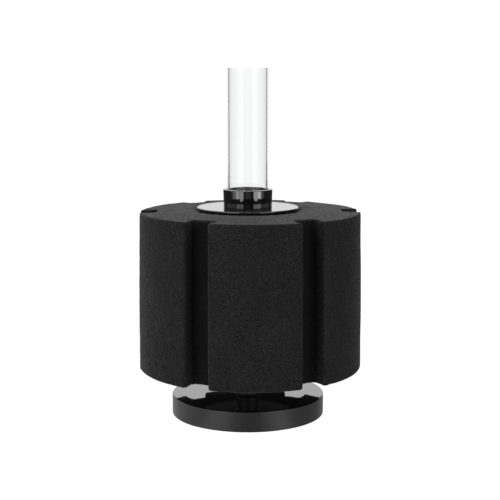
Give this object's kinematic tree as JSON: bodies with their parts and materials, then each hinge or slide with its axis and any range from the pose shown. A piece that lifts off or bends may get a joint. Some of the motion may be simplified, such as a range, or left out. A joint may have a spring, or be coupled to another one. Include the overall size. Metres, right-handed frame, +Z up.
{
  "type": "sponge filter",
  "caption": "Air-driven aquarium sponge filter: a grooved round foam block on a slotted core, with a weighted round foot and a clear lift tube standing in a collar on top.",
  "frame": {"origin": "centre of the foot's underside, on the lift tube's axis", "axes": "+Z up along the lift tube; -Y is the front, where one sponge lobe faces a few degrees towards +X"},
  "size_m": [0.107, 0.1074, 0.1697],
  "materials": {
    "foot_black": "satin",
    "gloss_black": "gloss",
    "core_black": "satin",
    "foam_black": "matte",
    "ballast_steel": "satin",
    "diffuser_grey": "matte",
    "clear_tube": "gloss"
  },
  "bodies": {
    "foot": {"base_shell": "foot_black", "base_weight": "ballast_steel", "base_underplate": "foot_black"},
    "core": {"stem": "core_black", "lower_plate": "gloss_black", "strainer": "core_black"},
    "sponge_block": {"sponge": "foam_black"},
    "cap": {"top_plate": "gloss_black", "collar": "gloss_black", "air_spider": "core_black", "air_nipple": "core_black", "diffuser": "diffuser_grey"},
    "tube": {"lift_tube": "clear_tube"}
  },
  "joints": [
    {"name": "core_lift", "type": "slide", "parent": "foot", "child": "core", "axis": [0, 0, 1], "range_m": [0, 0.02]},
    {"name": "cap_lift", "type": "slide", "parent": "core", "child": "cap", "axis": [0, 0, 1], "range_m": [0, 0.17]},
    {"name": "sponge_lift", "type": "slide", "parent": "core", "child": "sponge_block", "axis": [0, 0, 1], "range_m": [0, 0.085]},
    {"name": "tube_lift", "type": "slide", "parent": "cap", "child": "tube", "axis": [0, 0, 1], "range_m": [0, 0.03]}
  ],
  "couplings": [
    {"joint": "sponge_lift", "follows": "cap_lift", "ratio": 0.5}
  ]
}
